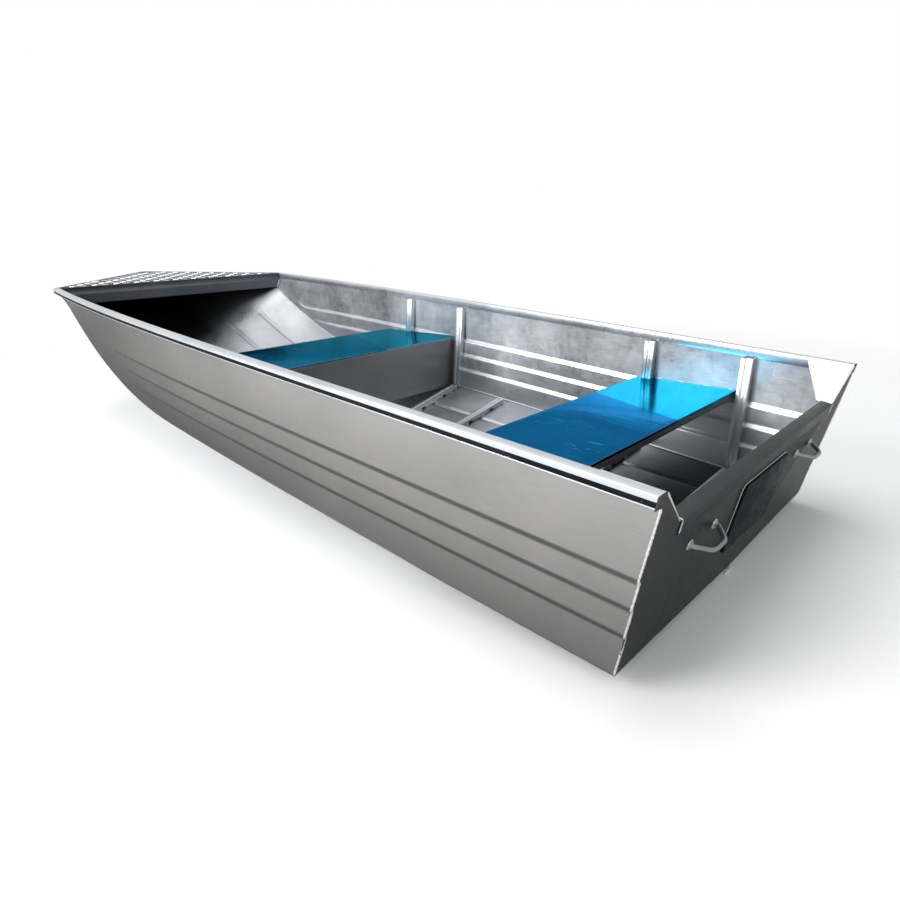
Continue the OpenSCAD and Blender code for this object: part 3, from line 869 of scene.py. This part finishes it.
def footLines():
    lines = []
    radius = seams["footRound"]
    for side in (1, -1):
        for foot in (-1, 1):
            middle = handle["y"] + foot * handle["feet"] / 2
            ring = [inTransom(transomSkin - 0.5, side * (middle + a), handleUp + b)
                    for a, b in circle(20, radius)]
            lines.append(ring + [ring[0].copy()])
    return lines


beads = [
    addBeads("weld_sternCorners", bothSides([sternCornerLine()]), 3.6),
    addBeads("weld_transomEdge", bothSides([transomEdge()]), 2.4),
    addBeads("weld_chineInside", bothSides([chineLine()]), 2.2),
    addBeads("weld_bowSeams", bothSides(bowSeams()), 2.6),
    addBeads("weld_ribs", bothSides(ribEdgeLines()), 1.9, "frame"),
    addBeads("weld_floor", bothSides(floorEdgeLines()), 2.0, "frame"),
    addBeads("weld_gunwale", bothSides(gunwaleLipLines()), 2.0, "extrusion"),
    addBeads("weld_flange", bothSides(flangeLines()), 2.2),
    addBeads("weld_seats", bothSides(seatEndLines()), 2.0, "frame"),
    addBeads("weld_cap", capLines(), 2.2),
    addBeads("weld_pad", padLines(), 1.5),
    addBeads("weld_knees", bothSides(kneeLines()), 2.0),
    addBeads("weld_keel", bothSides(keelLines()), 2.4, "extrusion"),
    addBeads("weld_handles", footLines(), 2.2, "cast_handle")]
print("weld beads made:", sum(len(b.data.polygons) for b in beads), "faces")

# a pan-head screw holds each end of the fender strips
screw = dict(radius=3.4, dome=1.8, sides=16, sunk=1.6, places=(26, 3334))


def addScrews():
    points, faces = [], []
    spots = []
    count = screw["sides"]
    for x in screw["places"]:
        z = sheerZ(topX(x)) + gunwale["wall"] + gunwale["groove"] / 2
        spots.append(Vector((x + leanX(x, z), sheerY(topX(x)) + gunwale["out"] - 0.5, z)))
    rings = [(1.0, 0.0), (0.98, 0.35), (0.86, 0.7), (0.6, 0.93), (0.3, 1.0)]
    for side in (1, -1):
        for spot in spots:
            base = len(points)
            for scale, up in rings:
                radius = screw["radius"] * scale
                y = side * (spot.y - screw["sunk"] + screw["dome"] * up)
                points += [Vector((spot.x + a, y, spot.z + b)) for a, b in circle(count, radius)]
            faces += ringFaces(base, count, len(rings))
            top = base + (len(rings) - 1) * count
            y = side * (spot.y - screw["sunk"] + screw["dome"] * 0.55)
            points.append(Vector((spot.x, y, spot.z)))
            for k in range(count):
                faces.append((top + k, top + (k + 1) % count, len(points) - 1))
    return makePiece("fenderScrews", points, faces, "extrusion", sharp=60)


screws = addScrews()
print("screws made")


# materials
class NodeBench:
    # short calls for wiring the nodes of a material or of the world
    def __init__(self, owner):
        owner.use_nodes = True
        self.owner = owner
        self.tree = owner.node_tree
        self.shader = self.tree.nodes.get("Principled BSDF")
        self.coords = self.tree.nodes.new("ShaderNodeTexCoord")

    def feed(self, socket, value):
        if isinstance(value, bpy.types.NodeSocket):
            self.tree.links.new(value, socket)
        elif socket.type == "RGBA":
            socket.default_value = (*value, 1.0)
        elif value is not None:
            socket.default_value = value

    def feedNamed(self, node, inputs):
        for name, value in inputs.items():
            self.feed(node.inputs[name.replace("_", " ")], value)

    def node(self, kind, output, **inputs):
        node = self.tree.nodes.new("ShaderNode" + kind)
        self.feedNamed(node, inputs)
        return node.outputs[output]

    def mapping(self, scale=(1, 1, 1), turn=(0, 0, 0)):
        return self.node("Mapping", "Vector", Vector=self.coords.outputs["Object"], Scale=scale,
                         Rotation=turn)

    def noise(self, vector, scale, detail=2.0, rough=0.5, distortion=0.0):
        return self.node("TexNoise", "Fac", Vector=vector, Scale=scale, Detail=detail,
                         Roughness=rough, Distortion=distortion)

    def spread(self, value, fromLow, fromHigh, toLow, toHigh):
        return self.node("MapRange", "Result", Value=value, From_Min=fromLow,
                         From_Max=fromHigh, To_Min=toLow, To_Max=toHigh)

    def bump(self, height, strength, distance, normal=None):
        return self.node("Bump", "Normal", Height=height, Strength=strength, Distance=distance,
                         Normal=normal)

    def math(self, kind, *values):
        node = self.tree.nodes.new("ShaderNodeMath")
        node.operation = kind
        for value, socket in zip(values, node.inputs):
            self.feed(socket, value)
        return node.outputs[0]

    def mix(self, share, low, high):
        node = self.tree.nodes.new("ShaderNodeMix")
        node.data_type = "RGBA"
        for value, socket in zip((share, low, high), (0, 6, 7)):
            self.feed(node.inputs[socket], value)
        return node.outputs[2]

    def measure(self, kind, place, other=None):
        # a vector measure of the place: its length, or its product with another
        node = self.tree.nodes.new("ShaderNodeVectorMath")
        node.operation = kind
        self.feed(node.inputs[0], self.coords.outputs[place])
        self.feed(node.inputs[1], other)
        return node.outputs["Value"]

    def axes(self):
        # the place on the piece as its x, y and z
        node = self.tree.nodes.new("ShaderNodeSeparateXYZ")
        self.feed(node.inputs[0], self.coords.outputs["Object"])
        return node.outputs

    def mark(self, name):
        # a value that the mesh carries at its points
        node = self.tree.nodes.new("ShaderNodeAttribute")
        node.attribute_name = name
        return node.outputs["Fac"]

    def hairlines(self, scale, turn, stretch, width, seed):
        # thin level lines of a stretched noise read as hairline scratches
        vector = self.mapping(tuple(s * scale for s in stretch), turn)
        field = self.noise(vector, 1.0 + 0.07 * seed, 1.0)
        near = self.math("ABSOLUTE", self.math("SUBTRACT", field, 0.5))
        return self.spread(near, 0.0, width, 1.0, 0.0)

    def whiteRays(self):
        # 1 for the camera's rays and for those that a mirror or glass sends on
        rays = self.tree.nodes.new("ShaderNodeLightPath").outputs
        seen = self.math("MAXIMUM", rays["Is Camera Ray"], rays["Is Transmission Ray"])
        return self.math("MAXIMUM", seen, rays["Is Glossy Ray"])

    def blend(self, share, first, second, output):
        node = self.tree.nodes.new("ShaderNodeMixShader")
        for value, socket in zip((share, first, second), node.inputs):
            self.feed(socket, value)
        self.feed(self.tree.nodes[output].inputs["Surface"], node.outputs[0])

    def finish(self, **inputs):
        self.feedNamed(self.shader, inputs)
        return self.owner


def newMaterial(name):
    return NodeBench(bpy.data.materials.new(name))


def metalLook(light, dark, rough, edge, **other):
    # edge: how much of the white surround shows at a glancing angle
    common = dict(metallic=0.9, roughSpread=0.14, grainDeep=0.05, scratch=0.3)
    return dict(common, light=light, dark=dark, rough=rough, edge=edge, **other)


metalLooks = dict(
    sheet=metalLook((0.34, 0.335, 0.33), (0.26, 0.259, 0.258), 0.36, 0.42, metallic=0.92,
                    roughSpread=0.12, grain=(1.5, 90, 90), scratch=0.25),
    # painted light: a lighter, bluer copy of the side sheet's metal for the lit starboard side
    litSheet=metalLook((0.62, 0.65, 0.69), (0.34, 0.36, 0.39), 0.33, 0.6, metallic=0.92,
                         grain=(1.5, 90, 90)),
    bottom=metalLook((0.50, 0.52, 0.55), (0.24, 0.25, 0.27), 0.34, 0.5, metallic=0.92,
                     # painted shadows: under the foredeck on its port half, and over the stern end
                     # of the bottom under the aft bench
                     grain=(1.5, 90, 90), stainTone=(0.012, 0.012, 0.014),
                     stains=(((1.05, 1.42), (-0.34, -0.12), 0.93),
                             ((-1.26, -1.42), (-0.9, -0.8), 0.75))),
    # painted shade: the transom and its cap are near-black, far darker than the sheets they are
    # made of
    transom=metalLook((0.080, 0.084, 0.084), (0.05, 0.054, 0.056), 0.38, 0.5,
                      grain=(90, 1.5, 90), scratch=0.35),
    rail=metalLook((0.62, 0.66, 0.69), (0.50, 0.53, 0.56), 0.30, 0.8, metallic=0.88,
                   roughSpread=0.12, grain=(1.2, 160, 160), scratch=0.08),
    frames=metalLook((0.66, 0.68, 0.70), (0.48, 0.50, 0.52), 0.34, 0.9, metallic=0.88,
                     roughSpread=0.16, grain=(60, 60, 4), grainDeep=0.06),
    # painted shade: the deck plate is far darker than its own raised bars
    deck=metalLook((0.15, 0.16, 0.18), (0.08, 0.085, 0.10), 0.38, 0.4, roughSpread=0.15,
                   grain=(60, 2, 60)),
    bars=metalLook((0.88, 0.89, 0.90), (0.72, 0.73, 0.75), 0.28, 1.0, metallic=0.85,
                   roughSpread=0.12, grain=(40, 40, 40), scratch=0.2),
    weld=metalLook((0.74, 0.74, 0.73), (0.42, 0.42, 0.42), 0.34, 0.9, metallic=0.85,
                   roughSpread=0.2, grain=(160, 160, 160), grainDeep=0.12, scratch=0.0),
    cast=metalLook((0.30, 0.31, 0.32), (0.17, 0.18, 0.19), 0.40, 0.8, metallic=0.85,
                   roughSpread=0.2, grain=(300, 300, 300), grainDeep=0.25, scratch=0.1))


def metalMaterial(name, look, stepShade):
    # the last argument: the least and the most painted shade on the slopes of the pressed steps
    bench = newMaterial(name)
    grain = bench.noise(bench.mapping(look["grain"]), 5.0, 3.0, 0.6)
    cloud = bench.noise(bench.mapping(), 2.6, 4.0, 0.55, 0.4)
    fine = bench.noise(bench.mapping(), 34.0, 4.0, 0.65)
    share = bench.math("ADD", bench.math("MULTIPLY", cloud, 0.65),
                       bench.math("MULTIPLY", grain, 0.35))
    colour = bench.mix(bench.spread(share, 0.32, 0.68, 0.0, 1.0), look["dark"], look["light"])
    half = look["roughSpread"] / 2
    rough = bench.spread(bench.math("ADD", fine, cloud), 0.7, 1.3,
                         look["rough"] - half, look["rough"] + half)
    if look["scratch"]:
        lines = bench.hairlines(3.0, (0.3, 0.1, 0.5), (1, 3.5, 3.5), 0.004, 1)
        cross = bench.hairlines(4.0, (0.2, 0.9, 2.1), (4, 1, 3), 0.003, 2)
        both = bench.math("MAXIMUM", lines, cross)
        patch = bench.spread(bench.noise(bench.mapping(), 5.5, 1.0), 0.5, 0.62, 0.0, 1.0)
        marks = bench.math("MULTIPLY", bench.math("MULTIPLY", both, patch), look["scratch"])
        colour = bench.mix(marks, colour, tuple(min(1.0, c * 1.35) for c in look["light"]))
        rough = bench.math("ADD", rough, bench.math("MULTIPLY", marks, 0.25))
    if stepShade:
        # painted shade on the slopes of the steps, where the sheet faces down
        stepShadow = bench.math("MULTIPLY", bench.mark("crease"),
                           bench.spread(cloud, 0.3, 0.7, *stepShade))
        colour = bench.mix(stepShadow, colour, tuple(c * 0.36 for c in look["dark"]))
        rough = bench.math("ADD", rough, bench.math("MULTIPLY", stepShadow, 0.12))
        # painted shade: the sheet's shade mark takes the colour toward a darker tone
        colour = bench.mix(bench.mark("paintedShade"), colour, tuple(c * 0.42 for c in look["dark"]))
    # painted shadows: each box of the piece goes toward a dark tone
    for along, across, most in look.get("stains", ()):
        inX = bench.spread(bench.axes()["X"], *along, 0.0, most)
        inY = bench.spread(bench.axes()["Y"], *across, 0.0, 1.0)
        colour = bench.mix(bench.math("MULTIPLY", inX, inY), colour, look["stainTone"])
    normal = bench.bump(grain, look["grainDeep"], 0.0006)
    waves = bench.noise(bench.mapping(), 3.2, 1.0)
    normal = bench.bump(waves, 0.10, 0.012, normal)
    return bench.finish(Base_Color=colour, Roughness=rough, Normal=normal,
                        Metallic=look["metallic"], Specular_Tint=(look["edge"],) * 3)


rubberLook = dict(dark=(0.005, 0.006, 0.008), light=(0.013, 0.015, 0.018), rough=0.55)
padLook = dict(dark=(0.003, 0.004, 0.006), light=(0.008, 0.011, 0.014), rough=0.5)
# pale: the tone of the painted reflection strip and of the scratches
filmLook = dict(deep=(0.001, 0.125, 0.25), light=(0.002, 0.155, 0.31), pale=(0.28, 0.52, 0.60),
                edge=(0.02, 0.42, 0.55), rough=0.13, slant=0.42, blur=0.004, reflectionShare=0.46,
                reflectionFrom=dict(Front=-0.3225, Aft=-0.884))


def dullMaterial(name, look, scale):
    bench = newMaterial(name)
    cloud = bench.noise(bench.mapping(), 9.0, 4.0, 0.6)
    fine = bench.noise(bench.mapping(scale), 30.0, 3.0, 0.6)
    colour = bench.mix(bench.spread(cloud, 0.35, 0.65, 0.0, 1.0), look["dark"], look["light"])
    scuffs = bench.hairlines(6.0, (0.4, 0.3, 0.2), (1, 4, 4), 0.006, 3)
    scuffs = bench.math("MULTIPLY", scuffs, bench.spread(cloud, 0.5, 0.7, 0.0, 0.5))
    colour = bench.mix(scuffs, colour, (0.10, 0.10, 0.11))
    rough = bench.spread(fine, 0.3, 0.7, look["rough"] - 0.08, look["rough"] + 0.12)
    return bench.finish(Base_Color=colour, Roughness=rough, Metallic=0.0,
                        Normal=bench.bump(fine, 0.08, 0.0006), Specular_IOR_Level=0.04)


def filmMaterial(name, look, reflectionFrom):
    bench = newMaterial(name)
    cloud = bench.noise(bench.mapping(), 3.1, 3.0, 0.55, 0.6)
    colour = bench.mix(bench.spread(cloud, 0.35, 0.65, 0.0, 1.0), look["deep"], look["light"])
    # painted reflection: a paler strip to starboard, with a slanting edge, where the film mirrors
    # the starboard side
    place = bench.axes()
    slanted = bench.math("MULTIPLY_ADD", place["X"], look["slant"], place["Y"])
    reflection = bench.spread(slanted, reflectionFrom - look["blur"], reflectionFrom + look["blur"],
                         look["reflectionShare"], 0.0)
    colour = bench.mix(reflection, colour, look["pale"])
    long = bench.hairlines(2.2, (0.0, 0.0, 0.35), (1, 5, 1), 0.0035, 1)
    cross = bench.hairlines(3.4, (0.0, 0.0, 1.9), (1, 6, 1), 0.0028, 4)
    short = bench.hairlines(7.0, (0.0, 0.0, 2.6), (1, 5, 1), 0.006, 6)
    patch = bench.spread(bench.noise(bench.mapping(), 6.0, 2.0), 0.52, 0.66, 0.0, 1.0)
    specks = bench.spread(bench.noise(bench.mapping(), 120.0, 2.0), 0.70, 0.78, 0.0, 0.5)
    marks = bench.math("MAXIMUM", bench.math("MAXIMUM", long, cross), short)
    marks = bench.math("MAXIMUM", bench.math("MULTIPLY", marks, patch), specks)
    colour = bench.mix(bench.math("MULTIPLY", marks, 0.5), colour, look["pale"])
    smooth = bench.spread(cloud, 0.3, 0.7, look["rough"] - 0.04, look["rough"] + 0.07)
    rough = bench.math("ADD", smooth, bench.math("MULTIPLY", marks, 0.2))
    creases = bench.noise(bench.mapping((3, 9, 3), (0, 0, 0.5)), 2.2, 2.0, 0.5, 1.2)
    normal = bench.bump(creases, 0.10, 0.006)
    normal = bench.bump(marks, 0.2, 0.0004, normal)
    return bench.finish(Base_Color=colour, Roughness=rough, Normal=normal, Metallic=1.0,
                        Coat_Weight=0.03, Coat_Roughness=0.06, Specular_Tint=look["edge"])


def giveMaterial(pieces, material):
    for piece in pieces:
        piece.data.materials.clear()
        piece.data.materials.append(material)


def giveMetal(pieces, name, look, stepShade=None):
    giveMaterial(pieces, metalMaterial(name, metalLooks[look], stepShade))


giveMetal(sides[:1], "steppedSideSheet", "sheet", (0.62, 0.80))
# the starboard sheet takes the lighter copy of the sheet metal, as painted light
giveMetal(sides[1:], "litSideSheet", "litSheet", (0.0, 0.1))
giveMetal([bottom], "bottomSheet", "bottom")
giveMetal([bowPiece] + seatPieces, "rolledSheet", "sheet")
giveMetal([transomPiece, capPiece], "shadedTransomMetal", "transom")
giveMetal(rails["rails"] + [rails["keel"]] + runnerPieces + [screws], "gunwaleExtrusion", "rail")
giveMetal(framePieces + kneePieces, "framePressing", "frames")
giveMetal([deckPiece], "shadedTreadPlate", "deck")
giveMetal([treadBars], "treadBarTops", "bars")
giveMetal(handles, "castHandleMetal", "cast")
giveMetal(beads, "weldMetal", "weld")
giveMaterial(rails["strips"], dullMaterial("fenderRubber", rubberLook, (1, 6, 6)))
giveMaterial([padPiece], dullMaterial("motorPadSkin", padLook, (1, 1, 1)))
for filmPiece, label in zip(films, filmCut["benches"]):
    filmSkin = filmMaterial("blueFilm" + label, filmLook, filmLook["reflectionFrom"][label])
    giveMaterial([filmPiece], filmSkin)
print("materials given")

# studio: a pale floor, soft lamps to port and above, and a plain surrounding
studio = dict(
    floorColour=(0.86, 0.86, 0.85), floorSize=60, whiteFrom=2.6, whiteBy=4.6,
    toLight=(0.15, 0.80, 0.58), surroundLow=0.20, surroundHigh=0.90,
    surroundTint=(0.97, 0.985, 1.0),
    key=dict(place=(1.2, 4.9, 2.7), aim=(-0.2, -0.3, 0.3), size=3.6, power=340),
    top=dict(place=(0.4, -0.4, 5.2), aim=(0, 0, 0), size=5.0, power=170),
    fill=dict(place=(-5.0, 2.8, 2.2), aim=(0, 0, 0.3), size=3.0, power=25))


def addFloor(look):
    size = look["floorSize"] / 2
    mesh = bpy.data.meshes.new("studioFloor")
    corners = [(-size, -size, 0), (size, -size, 0), (size, size, 0), (-size, size, 0)]
    mesh.from_pydata(corners, [], [(0, 1, 2, 3)])
    floor = bpy.data.objects.new("studioFloor", mesh)
    scene.collection.objects.link(floor)
    bench = newMaterial("paleFloor")
    tint = tuple(c * 0.985 for c in look["floorColour"])
    cloud = bench.noise(bench.mapping(), 0.6, 3.0)
    bench.finish(Base_Color=bench.mix(cloud, tint, look["floorColour"]), Roughness=0.9)
    distance = bench.measure("LENGTH", "Object")
    far = bench.spread(distance, look["whiteFrom"], look["whiteBy"], 0.0, 1.0)
    glow = bench.node("Emission", "Emission", Color=(1, 1, 1))
    bench.blend(bench.math("MULTIPLY", far, bench.whiteRays()), bench.shader.outputs["BSDF"],
                glow, "Material Output")
    floor.data.materials.append(bench.owner)


def addLamp(name, look):
    data = bpy.data.lights.new(name, "AREA")
    data.shape = "DISK"
    data.size = look["size"]
    data.energy = look["power"]
    lamp = bpy.data.objects.new(name, data)
    scene.collection.objects.link(lamp)
    lamp.location = look["place"]
    aim = Vector(look["aim"]) - Vector(look["place"])
    lamp.rotation_euler = aim.to_track_quat("-Z", "Y").to_euler()


def addSurround(look):
    # pale to port and above, and dimmer to starboard
    scene.world = bpy.data.worlds.new("studioSurround")
    bench = NodeBench(scene.world)
    toward = bench.measure("DOT_PRODUCT", "Generated", look["toLight"])
    level = bench.spread(toward, -0.5, 0.9, look["surroundLow"], look["surroundHigh"])
    plain = bench.tree.nodes["Background"]
    bench.feedNamed(plain, dict(Color=look["surroundTint"], Strength=level))
    white = bench.node("Background", "Background", Color=(1, 1, 1))
    bench.blend(bench.whiteRays(), plain.outputs[0], white, "World Output")


addFloor(studio)
for lampName in ("key", "top", "fill"):
    addLamp(lampName + "Lamp", studio[lampName])
addSurround(studio)
scene.view_settings.view_transform = "Standard"
print("studio ready")
